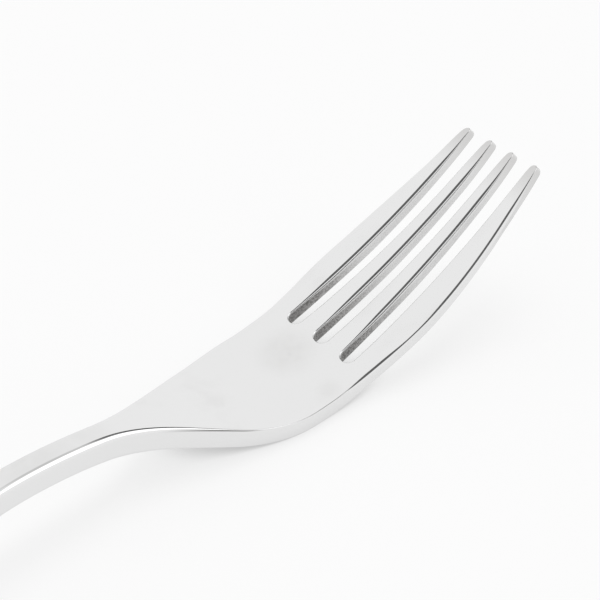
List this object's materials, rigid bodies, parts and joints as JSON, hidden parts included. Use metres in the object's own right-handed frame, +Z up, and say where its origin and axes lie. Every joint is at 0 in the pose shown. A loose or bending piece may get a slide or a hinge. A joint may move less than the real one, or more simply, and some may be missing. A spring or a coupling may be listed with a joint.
{
  "type": "dinner fork",
  "caption": "Polished steel table fork with tapered tines, a curved palm, a slim arched neck and a bevelled hollow handle, for lifting and holding food.",
  "frame": {"origin": "on the table, half way along the fork and on its centre line", "axes": "+X along the fork towards the tine tips, +Y to its left, +Z up from the table"},
  "size_m": [0.204, 0.0252, 0.025],
  "materials": {
    "head_steel": "polished stainless steel",
    "handle_steel": "polished stainless steel",
    "cement": "set resin cement, never seen"
  },
  "bodies": {
    "root": {"fork_head": "head_steel", "handle_front": "handle_steel", "handle_back": "handle_steel", "handle_core": "cement"}
  },
  "joints": []
}
